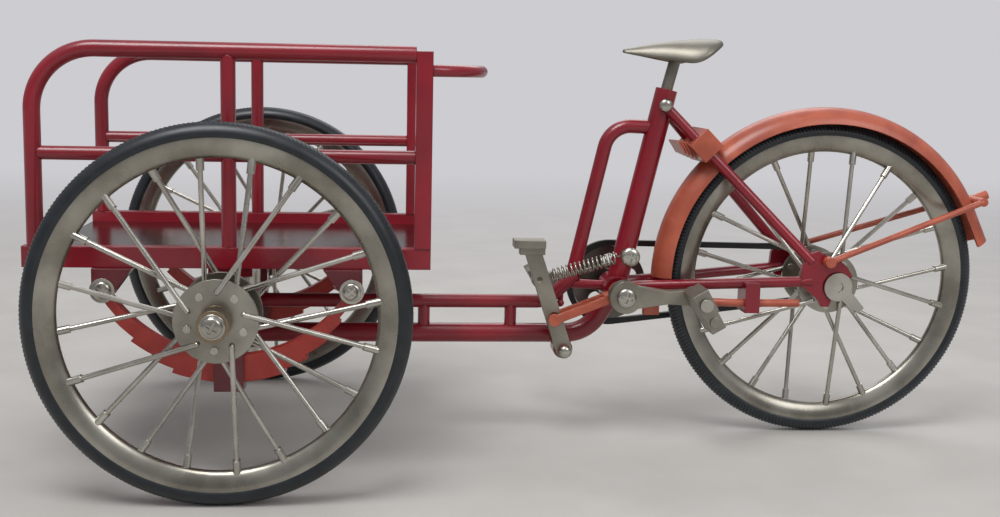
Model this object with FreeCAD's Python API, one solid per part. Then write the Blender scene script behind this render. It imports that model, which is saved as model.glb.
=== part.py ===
import FreeCAD, Part
import math
import os

# Die-cast scale model of a Dutch cargo tricycle: two steered wheels and an open cargo cage in
# front, one driven wheel behind. Front of the tricycle is -X, its left side is -Y, +Z is up.
# X is measured back from the front axle here; save() moves the origin midway between the ends.

V = FreeCAD.Vector
Y_AXIS = V(0, 1, 0)
Z_AXIS = V(0, 0, 1)
SIDES = (("left", -1), ("right", 1))

# wheels
WHEELBASE = 120.6
AXLE_Z = 33.0
WHEEL_R = 33.0
TYRE_SECTION_R = 2.2
RIM_TOP_R = 30.6
RIM_INNER_R = 26.9
RIM_WEB_R = 28.65
RIM_HALF = 1.8
BEAD_HALF = 1.25
TRACK_HALF = 46.0
SPOKE_R = 0.45
NIPPLE_R = 0.7
NIPPLE_LENGTH = 3.4
FLANGE_HOLES_R = 4.9
FLANGE_THICK = 0.8
SPOKE_PAIRS = 5
RUNNING_FIT = 0.05
FRONT_AXLE_R = 1.2
REAR_AXLE_R = 1.1

# cargo cage
CAGE_FRONT = -36.5
CAGE_REAR = 36.5
CAGE_Y = 29.3
RAIL_HALF = 1.3
RAIL_LOW = 38.9
RAIL_TOP = 42.7
FLOOR_LOW = 39.6
FLOOR_THICK = 0.8
MEMBER_HALF = 4.0
MEMBER_LOW = 37.0
HOOP_R = 1.5
FRONT_POST_X = -34.3
TOP_RAIL_Z = 77.8
TOP_CORNER_R = 11.0
MID_RAIL_Z = 59.3
MID_RAIL_R = 1.25
CENTRE_POST_R = 1.35
REAR_POST = 3.0
REAR_POST_TOP = 78.4
HANDLE_R = 1.1
HANDLE_Z = 75.0
HANDLE_X = 46.3
HANDLE_CORNER_R = 12.0

# steering and springs
KINGPIN_R = 1.5
HEAD_R = 3.0
HEAD_LOW = 18.5
HEAD_TOP = 30.7
BOSS_LOW = 31.0
BOSS_TOP = 35.2
SPRING_EYE_X = 22.2
SPRING_EYE_Z = 35.0
SPRING_LOW_Z = 22.3
SPRING_HALF = 1.5
SPRING_BOLT_R = 1.0
LEAF_THICK = 0.8
LEAF_SPANS = (62.0, 55.0, 47.0, 38.0, 29.0, 20.0)
LUG_WALL = 1.1
LUG_EYE_R = 1.9
LUG_OUTLINE = ((17.0, 38.9), (24.1, 38.9), (24.1, 35.0), (20.9, 33.6))
CLAMP_LOW = 16.4
CLAMP_TOP = 23.4
HANGER_TOP = 35.4

# frame
UPPER_TUBE_Z = 27.8
UPPER_TUBE_R = 1.43
LOWER_TUBE_Z = 21.1
LOWER_TUBE_R = 2.0
STRUT_XS = (36.7, 54.8)
STRUT_R = 1.25
HOOP_TUBE_R = 1.45
HOOP_FOOT = (67.6, 33.2)
HOOP_CORNER = (74.6, 64.7)
HOOP_BEND_R = 5.5
CRANK_X = 76.8
CRANK_Z = 30.7
SHELL_R = 3.0
SHELL_HALF = 4.35
SEAT_SLOPE = 0.2252
SEAT_TUBE_R = 2.25
SEAT_TUBE_TOP = 72.2
SEAT_BORE_LOW = 46.0
STAY_R = 1.1
DROPOUT_Y = 10.4
DROPOUT_THICK = 1.2
DROPOUT_OUTLINE = ((112.9, 33.4), (113.2, 37.2), (114.6, 39.6), (116.4, 40.3), (118.2, 39.3),
                   (120.6, 38.6), (122.4, 37.2), (123.7, 35.1), (123.2, 34.7), (120.6, 33.0),
                   (119.0, 28.8), (117.4, 28.9), (116.6, 30.4))
AXLE_BUSH_R = 2.9
BRAKE_ARM_OUTLINE = ((119.4, 31.8), (122.0, 34.2), (127.0, 28.4), (126.0, 27.3))

# mudguard
GUARD_R = 36.2
GUARD_DEPTH = 3.4
GUARD_HALF = 4.2
GUARD_WALL = 0.8
GUARD_TAIL_DEG = 25.0
GUARD_TAIL_RUN = 7.0
GUARD_FRONT_DEG = 179.5
GUARD_STAY_R = 0.65
KNOB = (153.2, 50.1)

# drive
CHAIN_Y = 7.6
CHAIN_HALF = 0.6
CHAIN_THICK = 1.2
CHAINRING_R = 7.9
SPROCKET_R = 5.0
CHAIN_CLEAR = 0.1
SPINDLE_R = 1.2
ARM_LENGTH = 14.2
ARM_INNER_Y = 9.7
ARM_THICK = 2.6
ARM_EYE_R = 2.1
PEDAL_PIN_R = 0.8
PEDAL_WIDTH = 8.4
PEDAL_TILT = 60.0
PEDAL_BACK = -2.6
PEDAL_STEP = 2.2
PEDAL_END = 6.0
PEDAL_HALF = 1.75
PEDAL_LOW_HALF = 1.5
PEDAL_BOLT_R = 1.05

# saddle
POST_R = 1.2
POST_LOW = 52.0
POST_BEND = 73.0
POST_HEAD = (88.5, 81.6)
SADDLE_THICK = 1.0
# X, half width, height on the centre line and height of the side edge
SADDLE_STATIONS = ((76.9, 1.0, 80.2, 79.6), (80.6, 2.1, 81.0, 79.0), (85.5, 3.9, 81.9, 78.2),
                   (90.1, 6.0, 82.4, 77.6), (93.3, 6.2, 82.7, 78.9), (95.6, 4.8, 82.7, 80.6),
                   (97.2, 2.4, 82.2, 81.6))

# brake
LEVER_PIVOT = (65.2, 18.9)
LEVER_TOP = (58.2, 39.6)
LEVER_Y = -7.0
LEVER_HALF_THICK = 0.8
LEVER_HALF_WIDTH = 1.65
CLEVIS = (62.9, 25.4)
CLEVIS_PIN_R = 0.7
SLOT_RISE = 0.65
PAD_HALF = 2.4
ROD_R = 0.8
ROD_FAR_Y = -9.4
ROD_END_X = 113.2
ROD_FAR_Z = 29.3
FORK_END = 74.6
SPRING_HOOK = (59.8, 33.6)
SPRING_ANCHOR = (78.2, 38.4)
BRAKE_SPRING_R = 1.5

TAIL = math.radians(GUARD_TAIL_DEG)
TAIL_X = WHEELBASE + GUARD_R * math.cos(TAIL) + GUARD_TAIL_RUN * math.sin(TAIL)
ORIGIN_X = (CAGE_FRONT + TAIL_X) / 2


def save(name, shape):
    """Moves a finished shape into the part's frame and writes it as one node."""
    placed = shape.copy()
    placed.translate(V(-ORIGIN_X, 0, 0))
    placed.exportStep("parts/" + name + ".step")


def rod(start, end, radius):
    start = V(*start)
    span = V(*end) - start
    return Part.makeCylinder(radius, span.Length, start, span)


def cross_rod(x, z, y0, y1, radius):
    return rod((x, min(y0, y1), z), (x, max(y0, y1), z), radius)


def block(x0, x1, y0, y1, z0, z1):
    return Part.makeBox(x1 - x0, y1 - y0, z1 - z0, V(x0, y0, z0))


def plate(outline, y0, y1):
    """A flat plate with its outline in X and Z, between two Y positions."""
    points = [V(x, y0, z) for x, z in outline]
    face = Part.Face(Part.makePolygon(points + points[:1]))
    return face.extrude(V(0, y1 - y0, 0))


def bent_path(points, radii):
    """Straight runs joined by tangent arcs, one radius for each inner point."""
    corners = [V(*p) for p in points]
    edges = []
    start = corners[0]
    for before, corner, after, radius in zip(corners, corners[1:], corners[2:], radii):
        back = (before - corner).normalize()
        ahead = (after - corner).normalize()
        half = back.getAngle(ahead) / 2
        reach = radius / math.tan(half)
        first = corner + back * reach
        last = corner + ahead * reach
        middle = corner + (back + ahead).normalize() * (radius / math.sin(half) - radius)
        edges.append(Part.LineSegment(start, first).toShape())
        edges.append(Part.Arc(first, middle, last).toShape())
        start = last
    edges.append(Part.LineSegment(start, corners[-1]).toShape())
    return Part.Wire(edges)


def bent_rod(points, radii, radius):
    start = V(*points[0])
    profile = Part.Wire(Part.makeCircle(radius, start, V(*points[1]) - start))
    return bent_path(points, radii).makePipeShell([profile], True, False)


def cope(shape, *others):
    """Cuts the welded joints so that no two pieces share any space."""
    for other in others:
        shape = shape.cut(other)
    return shape


def join(*shapes):
    return shapes[0].fuse(list(shapes[1:])).removeSplitter()


def turned(profile, x, y):
    """Turns a profile drawn in radius and Y about an axle along Y at the axle height."""
    points = [V(x, y + across, AXLE_Z + radius) for radius, across in profile]
    face = Part.Face(Part.makePolygon(points + points[:1]))
    return face.revolve(V(x, y, AXLE_Z), Y_AXIS, 360)


def mirrored(shape):
    return shape.mirror(V(0, 0, 0), Y_AXIS)


def both_sides(shape):
    return Part.makeCompound([shape, mirrored(shape)])


def pan_head(x, z, y, sign, radius):
    """A domed cross-head screw head whose flat back lies at y and faces inward."""
    height = radius * 0.6
    dome_r = (radius * radius + height * height) / (2 * height)
    ball = Part.makeSphere(dome_r, V(x, y + sign * (height - dome_r), z))
    head = ball.common(cross_rod(x, z, y, y + sign * height, radius))
    reach = radius * 0.6
    blade = radius * 0.17
    deep = y + sign * height * 0.45
    top = y + sign * height * 1.1
    low, high = min(deep, top), max(deep, top)
    upright = block(x - blade, x + blade, low, high, z - reach, z + reach)
    level = block(x - reach, x + reach, low, high, z - blade, z + blade)
    return head.cut(upright.fuse(level))


# ---- wheels ----

def tyre(x, y):
    centre_r = WHEEL_R - TYRE_SECTION_R
    torus = Part.makeTorus(centre_r, TYRE_SECTION_R, V(x, y, AXLE_Z), Y_AXIS)
    seat = turned(((RIM_WEB_R, -RIM_HALF * 2), (RIM_TOP_R + 0.05, -RIM_HALF * 2),
                   (RIM_TOP_R + 0.05, RIM_HALF * 2), (RIM_WEB_R, RIM_HALF * 2),
                   (RIM_INNER_R, RIM_HALF * 2), (RIM_INNER_R, -RIM_HALF * 2)), x, y)
    bead = turned(((RIM_WEB_R + 0.05, -BEAD_HALF), (RIM_TOP_R + 0.2, -BEAD_HALF),
                   (RIM_TOP_R + 0.2, BEAD_HALF), (RIM_WEB_R + 0.05, BEAD_HALF)), x, y)
    return join(torus.cut(seat), bead)


def rim(x, y, spokes):
    lip = RIM_HALF - 0.5
    body = turned(((RIM_INNER_R, -0.9), (RIM_INNER_R + 1.6, -RIM_HALF), (RIM_TOP_R, -RIM_HALF),
                   (RIM_TOP_R, -lip), (RIM_WEB_R, -lip), (RIM_WEB_R, lip), (RIM_TOP_R, lip),
                   (RIM_TOP_R, RIM_HALF), (RIM_INNER_R + 1.6, RIM_HALF), (RIM_INNER_R, 0.9)), x, y)
    return body.cut(spokes)


def spoke(x, flange_y, rim_y, side, hub_deg, rim_deg, face):
    """One laced spoke: a head and elbow through the flange, the shaft and its rim nipple."""
    def at(radius, degrees, y):
        angle = math.radians(degrees)
        return V(x + radius * math.cos(angle), y, AXLE_Z + radius * math.sin(angle))
    shaft_y = flange_y + face * (FLANGE_THICK / 2 + SPOKE_R)
    head_y = flange_y - face * (FLANGE_THICK / 2)
    start = at(FLANGE_HOLES_R, hub_deg, shaft_y)
    end = at(RIM_WEB_R - 0.35, rim_deg, rim_y + side * 0.25)
    shaft = rod(start, end, SPOKE_R)
    run = (end - start).normalize()
    nipple = rod(end - run * NIPPLE_LENGTH, end, NIPPLE_R)
    elbow = cross_rod(start.x, start.z, head_y, shaft_y, SPOKE_R)
    head = cross_rod(start.x, start.z, head_y - face * 0.3, head_y, SPOKE_R * 1.5)
    return join(shaft, nipple, elbow, head, Part.makeSphere(SPOKE_R, start))


def spoke_set(x, y, flange_half):
    """Five crossed pairs on each flange, the second flange's pairs halfway between the first's."""
    pieces = []
    for side, first_deg in ((-1, 69), (1, 105)):
        for pair in range(SPOKE_PAIRS):
            centre = first_deg + pair * 360 / SPOKE_PAIRS
            flange_y = y + side * flange_half
            pieces.append(spoke(x, flange_y, y, side, centre - 18, centre + 9, 1))
            pieces.append(spoke(x, flange_y, y, side, centre + 18, centre - 9, -1))
    return Part.makeCompound(pieces)


def hub(x, y, flange_half, flange_r, barrel, bore_r, spokes):
    """A spool hub: two drilled flanges on a barrel that runs between two Y positions."""
    low, high = barrel
    body = cross_rod(x, AXLE_Z, y + low, y + high, 2.7)
    for side in (-1, 1):
        middle = y + side * flange_half
        half = FLANGE_THICK / 2
        body = body.fuse(cross_rod(x, AXLE_Z, middle - half, middle + half, flange_r))
    return body.cut(cross_rod(x, AXLE_Z, y + low - 1, y + high + 1, bore_r)).cut(spokes)


def front_wheel(side, sign):
    y = sign * TRACK_HALF
    spokes = spoke_set(0, y, 4.0)
    barrel = (-5.0, 9.0) if sign > 0 else (-9.0, 5.0)
    save("front_tyre_" + side, tyre(0, y))
    save("front_rim_" + side, rim(0, y, spokes))
    save("front_spokes_" + side, spokes)
    save("front_hub_" + side, hub(0, y, 4.0, 7.1, barrel, FRONT_AXLE_R + RUNNING_FIT, spokes))


def rear_wheel():
    spokes = spoke_set(WHEELBASE, 0, 5.2)
    save("rear_tyre", tyre(WHEELBASE, 0))
    save("rear_rim", rim(WHEELBASE, 0, spokes))
    save("rear_spokes", spokes)
    save("rear_hub", hub(WHEELBASE, 0, 5.2, 6.35, (-9.2, 9.2), REAR_AXLE_R + RUNNING_FIT, spokes))


# ---- cargo cage and steering ----

def cage_sides():
    """The bent hoops, centre posts, middle rails and square rear posts of both sides."""
    path = ((FRONT_POST_X, -CAGE_Y, RAIL_TOP), (FRONT_POST_X, -CAGE_Y, TOP_RAIL_Z),
            (CAGE_REAR - REAR_POST, -CAGE_Y, TOP_RAIL_Z))
    hoop = bent_rod(path, (TOP_CORNER_R,), HOOP_R)
    post = rod((0, -CAGE_Y, RAIL_TOP), (0, -CAGE_Y, TOP_RAIL_Z), CENTRE_POST_R).cut(hoop)
    rail = rod((FRONT_POST_X, -CAGE_Y, MID_RAIL_Z), (CAGE_REAR - REAR_POST, -CAGE_Y, MID_RAIL_Z),
               MID_RAIL_R)
    rail = cope(rail, hoop, post)
    half = REAR_POST / 2
    rear = block(CAGE_REAR - REAR_POST, CAGE_REAR, -CAGE_Y - half, -CAGE_Y + half,
                 RAIL_TOP, REAR_POST_TOP)
    save("side_hoops", both_sides(hoop))
    save("centre_posts", both_sides(post))
    save("middle_rails", both_sides(rail))
    save("rear_posts", both_sides(rear))


def base_frame():
    """Side rails, the flat end bars below the floor and the member that carries the kingpin."""
    outer = CAGE_Y + RAIL_HALF
    inner = CAGE_Y - RAIL_HALF
    left = block(CAGE_FRONT, CAGE_REAR, -outer, -inner, RAIL_LOW, RAIL_TOP)
    front = block(CAGE_FRONT, CAGE_FRONT + REAR_POST, -inner, inner, RAIL_LOW, FLOOR_LOW)
    rear = block(CAGE_REAR - REAR_POST, CAGE_REAR, -inner, inner, RAIL_LOW, FLOOR_LOW)
    member = block(-MEMBER_HALF, MEMBER_HALF, -inner, inner, MEMBER_LOW, FLOOR_LOW)
    save("base_frame", join(left, mirrored(left), front, rear, member))
    floor = block(CAGE_FRONT, CAGE_REAR, -inner, inner, FLOOR_LOW, FLOOR_LOW + FLOOR_THICK)
    save("floor_plate", floor)


def handlebar():
    back = CAGE_REAR
    path = ((back, -CAGE_Y, HANDLE_Z), (HANDLE_X, -CAGE_Y, HANDLE_Z),
            (HANDLE_X, CAGE_Y, HANDLE_Z), (back, CAGE_Y, HANDLE_Z))
    save("handlebar", bent_rod(path, (HANDLE_CORNER_R, HANDLE_CORNER_R), HANDLE_R))


def steering():
    """Kingpin with its retaining collar, and the front axle with the boss the pin runs through."""
    shank = rod((0, 0, HEAD_LOW - 1.6), (0, 0, MEMBER_LOW), KINGPIN_R)
    collar = rod((0, 0, HEAD_LOW - 1.6), (0, 0, HEAD_LOW - 0.2), HEAD_R - 0.4)
    kingpin = join(shank, collar)
    end = TRACK_HALF + 9.0
    axle = join(cross_rod(0, AXLE_Z, -end, end, FRONT_AXLE_R),
                rod((0, 0, BOSS_LOW), (0, 0, BOSS_TOP), HEAD_R))
    save("kingpin", kingpin)
    axle = axle.cut(kingpin)
    save("front_axle", axle)
    screws = []
    for sign in (-1, 1):
        seat = end + 0.45
        washer = cross_rod(0, AXLE_Z, sign * end, sign * seat, 2.2)
        screws.append(join(washer, pan_head(0, AXLE_Z, sign * seat, sign, 1.85)))
    save("front_axle_screws", Part.makeCompound(screws))
    return axle


def leaf(inner, half_span, centre_z, low_y, high_y):
    """One leaf: a strip bent about a line over the axle, the same angle to each side."""
    outer = inner + LEAF_THICK
    points = [V(0, low_y, centre_z - inner), V(0, high_y, centre_z - inner),
              V(0, high_y, centre_z - outer), V(0, low_y, centre_z - outer)]
    face = Part.Face(Part.makePolygon(points + points[:1]))
    face.rotate(V(0, 0, centre_z), Y_AXIS, -half_span)
    return face.revolve(V(0, 0, centre_z), Y_AXIS, 2 * half_span)


def spring_end(sign, low_y, high_y):
    """The slotted lug on one end of the spring, and the bolt through its eye."""
    x = sign * SPRING_EYE_X
    outside = low_y - LUG_WALL
    inside = high_y + LUG_WALL
    bolt = join(cross_rod(x, SPRING_EYE_Z, outside, inside, SPRING_BOLT_R),
                cross_rod(x, SPRING_EYE_Z, outside - 0.4, outside, 2.25),
                cross_rod(x, SPRING_EYE_Z, inside, inside + 1.0, 1.7),
                pan_head(x, SPRING_EYE_Z, outside - 0.4, -1, 1.65))
    lug = join(plate([(sign * px, pz) for px, pz in LUG_OUTLINE], outside, inside),
               cross_rod(x, SPRING_EYE_Z, outside, inside, LUG_EYE_R))
    slot = block(x - 6, x + 6, low_y - 0.1, high_y + 0.1, 32.0, 37.4)
    return cope(lug, slot, bolt), bolt


def leaf_spring(axle):
    """Stepped leaf springs, the lugs and bolts that hold their eyes, and the axle hangers."""
    drop = SPRING_EYE_Z - SPRING_LOW_Z
    arc_r = (SPRING_EYE_X ** 2 + drop ** 2) / (2 * drop)
    low_y = -CAGE_Y - SPRING_HALF
    high_y = -CAGE_Y + SPRING_HALF
    leaves = [leaf(arc_r + (step - 0.5) * LEAF_THICK, span, SPRING_LOW_Z + arc_r, low_y, high_y)
              for step, span in enumerate(LEAF_SPANS)]
    eyes = [cross_rod(sign * SPRING_EYE_X, SPRING_EYE_Z, low_y, high_y, LUG_EYE_R) for sign in (-1, 1)]
    lugs, bolts = zip(*(spring_end(sign, low_y, high_y) for sign in (-1, 1)))
    spring = cope(join(*leaves, *eyes), *bolts)
    clamp = block(-2.7, 2.7, low_y - LUG_WALL, high_y + LUG_WALL, CLAMP_LOW, CLAMP_TOP)
    hanger = block(-2.2, 2.2, low_y - 0.6, high_y + 0.6, CLAMP_TOP, HANGER_TOP)
    hanger = cope(join(clamp, hanger), spring, axle)
    save("leaf_spring_left", spring)
    save("leaf_spring_right", mirrored(spring))
    save("spring_brackets", both_sides(Part.makeCompound(lugs)))
    save("spring_bolts", both_sides(Part.makeCompound(bolts)))
    save("axle_hangers", both_sides(hanger))


# ---- frame ----

def seat_axis_x(z):
    return CRANK_X + (z - CRANK_Z) * SEAT_SLOPE


def seat_line(z0, z1, radius):
    return rod((seat_axis_x(z0), 0, z0), (seat_axis_x(z1), 0, z1), radius)


def crank_rod(y0, y1, radius):
    return cross_rod(CRANK_X, CRANK_Z, y0, y1, radius)


def lower_tube():
    return bent_rod(((0, 0, LOWER_TUBE_Z), (71.0, 0, LOWER_TUBE_Z), (CRANK_X, 0, CRANK_Z)),
                    (8.0,), LOWER_TUBE_R)


def chain_stay():
    return rod((CRANK_X, -3.0, CRANK_Z + 0.8), (115.4, -DROPOUT_Y, 34.0), STAY_R)


def spine():
    """Head tube, shell, hoop and seat tube, and the two spine tubes with their struts."""
    head = rod((0, 0, HEAD_LOW), (0, 0, HEAD_TOP), HEAD_R)
    bore = rod((0, 0, HEAD_LOW - 1), (0, 0, HEAD_TOP + 1), KINGPIN_R + RUNNING_FIT)
    shell = crank_rod(-SHELL_HALF, SHELL_HALF, SHELL_R)
    peg = join(rod((65.4, 0, 30.6), (65.3, 0, 27.4), 0.55), Part.makeSphere(0.8, V(65.3, 0, 27.4)))
    spindle_bore = crank_rod(-SHELL_HALF - 1, SHELL_HALF + 1, SPINDLE_R + RUNNING_FIT)
    seat = seat_line(CRANK_Z, SEAT_TUBE_TOP, SEAT_TUBE_R)
    seat_bore = seat_line(SEAT_BORE_LOW, SEAT_TUBE_TOP + 1, POST_R + RUNNING_FIT)
    foot_x, foot_z = HOOP_FOOT
    corner_x, corner_z = HOOP_CORNER
    hoop = bent_rod(((foot_x, 0, foot_z), (corner_x, 0, corner_z),
                     (seat_axis_x(corner_z), 0, corner_z - 0.3)), (HOOP_BEND_R,), HOOP_TUBE_R)
    upper = bent_rod(((0, 0, UPPER_TUBE_Z), (62.2, 0, UPPER_TUBE_Z), (68.3, 0, 33.6)),
                     (5.0,), UPPER_TUBE_R)
    link = rod((foot_x, 0, 31.6), (CRANK_X, 0, 31.2), 1.0)
    struts = [rod((x, 0, LOWER_TUBE_Z), (x, 0, UPPER_TUBE_Z), STRUT_R) for x in STRUT_XS]
    hoop = cope(hoop, seat)
    seat = seat.cut(shell)
    solids = Part.makeCompound([shell, seat, hoop])
    seat = seat.cut(seat_bore)
    upper = cope(upper, head, hoop)
    lower = cope(lower_tube(), head, shell)
    pin = cross_rod(seat_axis_x(69.0), 69.0, -SEAT_TUBE_R - 0.7, -POST_R - RUNNING_FIT, 0.95)
    save("head_tube", head.cut(bore))
    save("bottom_bracket_shell", shell.cut(spindle_bore))
    save("seat_tube", seat.cut(pin))
    save("seat_pin", pin)
    save("hoop_tube", hoop)
    save("upper_tube", upper)
    save("lower_tube", lower)
    struts = [cope(strut, upper, lower) for strut in struts]
    link = cope(link, shell, hoop, upper, lower)
    save("frame_struts", Part.makeCompound(struts + [link, peg.cut(upper)]))
    return solids.fuse(pin)


def rear_triangle(spine_tubes):
    """Seat stays and chain stays from the spine to the hooked dropouts."""
    outside = -DROPOUT_Y - DROPOUT_THICK / 2
    inside = outside + DROPOUT_THICK
    seat = cross_rod(WHEELBASE, AXLE_Z, outside, inside, AXLE_BUSH_R + RUNNING_FIT)
    dropout = plate(DROPOUT_OUTLINE, outside, inside).cut(seat)
    lower_stay = cope(chain_stay(), spine_tubes, dropout)
    upper_stay = rod((seat_axis_x(69.0), -1.8, 69.0), (115.2, -DROPOUT_Y, 38.0), STAY_R)
    upper_stay = cope(upper_stay, spine_tubes, dropout)
    save("dropouts", both_sides(dropout))
    save("chain_stays", both_sides(lower_stay))
    save("seat_stays", both_sides(upper_stay))
    return Part.makeCompound([both_sides(upper_stay), both_sides(lower_stay)])


def rear_axle():
    """Axle with the small brake arm beside the hub, and the bushes clipped into the dropouts."""
    end = DROPOUT_Y + DROPOUT_THICK / 2
    arm = plate(BRAKE_ARM_OUTLINE, -9.7, -9.3)
    axle = cross_rod(WHEELBASE, AXLE_Z, -end - 0.3, end + 0.3, REAR_AXLE_R)
    save("rear_axle", join(axle, arm, cross_rod(WHEELBASE, AXLE_Z, -9.7, -9.3, 2.4)))
    bush = cross_rod(WHEELBASE, AXLE_Z, DROPOUT_Y - DROPOUT_THICK / 2, end + 0.7, AXLE_BUSH_R)
    save("axle_nuts", both_sides(bush.cut(cross_rod(WHEELBASE, AXLE_Z, 0, end + 3, REAR_AXLE_R))))


# ---- mudguard ----

def guard_section(radius, half):
    """One arched edge of the mudguard's section, drawn above the rear axle."""
    edge_z = AXLE_Z + GUARD_R - GUARD_DEPTH
    return Part.Arc(V(WHEELBASE, -half, edge_z), V(WHEELBASE, 0, AXLE_Z + radius),
                    V(WHEELBASE, half, edge_z)).toShape()


def mudguard(stays):
    """The arched guard over the rear wheel, its clip on the seat stays and its wire stays."""
    outer = guard_section(GUARD_R, GUARD_HALF)
    inner = guard_section(GUARD_R - GUARD_WALL, GUARD_HALF - GUARD_WALL)
    first = Part.LineSegment(outer.Vertexes[-1].Point, inner.Vertexes[-1].Point).toShape()
    last = Part.LineSegment(inner.Vertexes[0].Point, outer.Vertexes[0].Point).toShape()
    face = Part.Face(Part.Wire(Part.sortEdges([outer, inner, first, last])[0]))
    centre = V(WHEELBASE, 0, AXLE_Z)
    face.rotate(centre, Y_AXIS, 90 - GUARD_TAIL_DEG)
    guard = face.revolve(centre, Y_AXIS, GUARD_TAIL_DEG - GUARD_FRONT_DEG)
    guard = join(guard, face.extrude(V(math.sin(TAIL), 0, -math.cos(TAIL)) * GUARD_TAIL_RUN))
    lug_x, lug_z = KNOB
    knob = join(cross_rod(lug_x, lug_z, -5.4, 5.4, 0.9),
                rod((lug_x - 1.0, 0, lug_z - 0.4), (lug_x + 3.0, 0, lug_z + 1.2), 1.0))
    clip = block(-2.4, 2.4, -6.2, 6.2, -2.6, 2.4)
    clip.rotate(V(0, 0, 0), Y_AXIS, 45)
    clip.translate(V(93.6, 0, 61.1))
    disc = Part.makeCylinder(GUARD_R, 2 * 7, V(WHEELBASE, -7, AXLE_Z), Y_AXIS)
    clip = cope(clip, disc, stays)
    guard = cope(guard, stays)
    wires = [rod((118.4, sign * 12.0, 38.2), (lug_x, sign * 4.9, lug_z), GUARD_STAY_R)
             for sign in (-1, 1)]
    eyes = [cross_rod(118.4, 38.2, sign * 11.05, sign * 12.9, 1.1) for sign in (-1, 1)]
    wire = join(knob, *wires, *eyes)
    save("mudguard_stay", wire)
    save("mudguard", guard.cut(wire))
    save("mudguard_clip", clip)


# ---- drive ----

def loop_face(front_r, rear_r, y):
    """The flat shape inside a belt that runs round the chainring and the rear sprocket."""
    front = V(CRANK_X, y, CRANK_Z)
    rear = V(WHEELBASE, y, AXLE_Z)
    span = rear - front
    lean = math.atan2(span.z, span.x)
    spread = math.acos((front_r - rear_r) / span.Length)

    def on(centre, radius, angle):
        return centre + V(math.cos(angle), 0, math.sin(angle)) * radius
    top_front = on(front, front_r, lean + spread)
    low_front = on(front, front_r, lean - spread)
    top_rear = on(rear, rear_r, lean + spread)
    low_rear = on(rear, rear_r, lean - spread)
    edges = [Part.Arc(top_front, on(front, front_r, lean + math.pi), low_front).toShape(),
             Part.LineSegment(low_front, low_rear).toShape(),
             Part.Arc(low_rear, on(rear, rear_r, lean), top_rear).toShape(),
             Part.LineSegment(top_rear, top_front).toShape()]
    return Part.Face(Part.Wire(edges))


def drive():
    """Chain loop, chainring, rear sprocket, crank spindle, arms and pedals."""
    low = CHAIN_Y - CHAIN_HALF
    inner = loop_face(CHAINRING_R + CHAIN_CLEAR, SPROCKET_R + CHAIN_CLEAR, low)
    outer = loop_face(CHAINRING_R + CHAIN_CLEAR + CHAIN_THICK, SPROCKET_R + CHAIN_CLEAR + CHAIN_THICK, low)
    save("drive_chain", outer.cut(inner).extrude(V(0, 2 * CHAIN_HALF, 0)))
    sprocket = cross_rod(WHEELBASE, AXLE_Z, CHAIN_Y - 0.4, CHAIN_Y + 0.4, SPROCKET_R)
    save("rear_sprocket", sprocket.cut(cross_rod(WHEELBASE, AXLE_Z, low - 1, CHAIN_Y + 2, 2.7)))
    ring = crank_rod(CHAIN_Y - 0.4, CHAIN_Y + 0.4, CHAINRING_R)
    for k in range(SPOKE_PAIRS):
        angle = math.radians(90 + 72 * k)
        ring = ring.cut(cross_rod(CRANK_X + 4.6 * math.cos(angle), CRANK_Z + 4.6 * math.sin(angle),
                                  CHAIN_Y - 1, CHAIN_Y + 1, 1.7))
    arm_outer = ARM_INNER_Y + ARM_THICK
    spindle = join(crank_rod(-ARM_INNER_Y, ARM_INNER_Y, SPINDLE_R), crank_rod(6.0, ARM_INNER_Y, 2.0))
    save("chainring", ring.cut(spindle))
    save("crank_spindle", spindle)
    arms, screws, pins = zip(*(crank_side(side, sign, arm_outer) for side, sign in SIDES))
    save("crank_arms", Part.makeCompound(arms))
    save("crank_screws", Part.makeCompound(screws))
    save("pedal_pins", Part.makeCompound(pins))


def crank_side(side, sign, arm_outer):
    """One crank arm, its screw and its pedal pin, with the pedal; the left arm points rearward."""
    reach = -sign * ARM_LENGTH
    eye_x = CRANK_X + reach
    y0, y1 = sign * ARM_INNER_Y, sign * arm_outer
    low, high = min(y0, y1), max(y0, y1)
    waist_x = CRANK_X + reach * 0.6
    bar = plate(((CRANK_X, CRANK_Z - 2.6), (waist_x, CRANK_Z - 1.3), (eye_x, CRANK_Z - 1.6),
                 (eye_x, CRANK_Z + 1.6), (waist_x, CRANK_Z + 1.3), (CRANK_X, CRANK_Z + 2.6)), low, high)
    arm = join(bar, crank_rod(low, high, 3.3), cross_rod(eye_x, CRANK_Z, low, high, ARM_EYE_R))
    screw = pan_head(CRANK_X, CRANK_Z, y1, sign, 2.0)
    far = sign * (arm_outer + PEDAL_WIDTH)
    pin = join(cross_rod(eye_x, CRANK_Z, y0, far, PEDAL_PIN_R),
               cross_rod(eye_x, CRANK_Z, far, far + sign * 0.5, 1.3))
    save("pedal_" + side, pedal(eye_x, sign * (arm_outer + 0.3), far - sign * 0.3, sign))
    return cope(arm, pin), screw, pin


def pedal(eye_x, near, far, sign):
    """A cast pedal hanging from its pin: a thick block, a thinner step and one bolt head."""
    low, high = min(near, far), max(near, far)
    upper = block(PEDAL_BACK, PEDAL_STEP, low, high, -PEDAL_HALF, PEDAL_HALF)
    lower = block(PEDAL_STEP, PEDAL_END, low + 0.5, high - 0.5, -PEDAL_LOW_HALF, PEDAL_LOW_HALF)
    face = far - sign * 0.5
    bolt = cross_rod((PEDAL_STEP + PEDAL_END) / 2, 0, face, face + sign * 0.4, PEDAL_BOLT_R)
    body = join(upper, lower, bolt)
    body.rotate(V(0, 0, 0), Y_AXIS, PEDAL_TILT)
    body.translate(V(eye_x, 0, CRANK_Z))
    return body.cut(cross_rod(eye_x, CRANK_Z, low - 1, high + 1, PEDAL_PIN_R + RUNNING_FIT))


# ---- saddle ----

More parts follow.
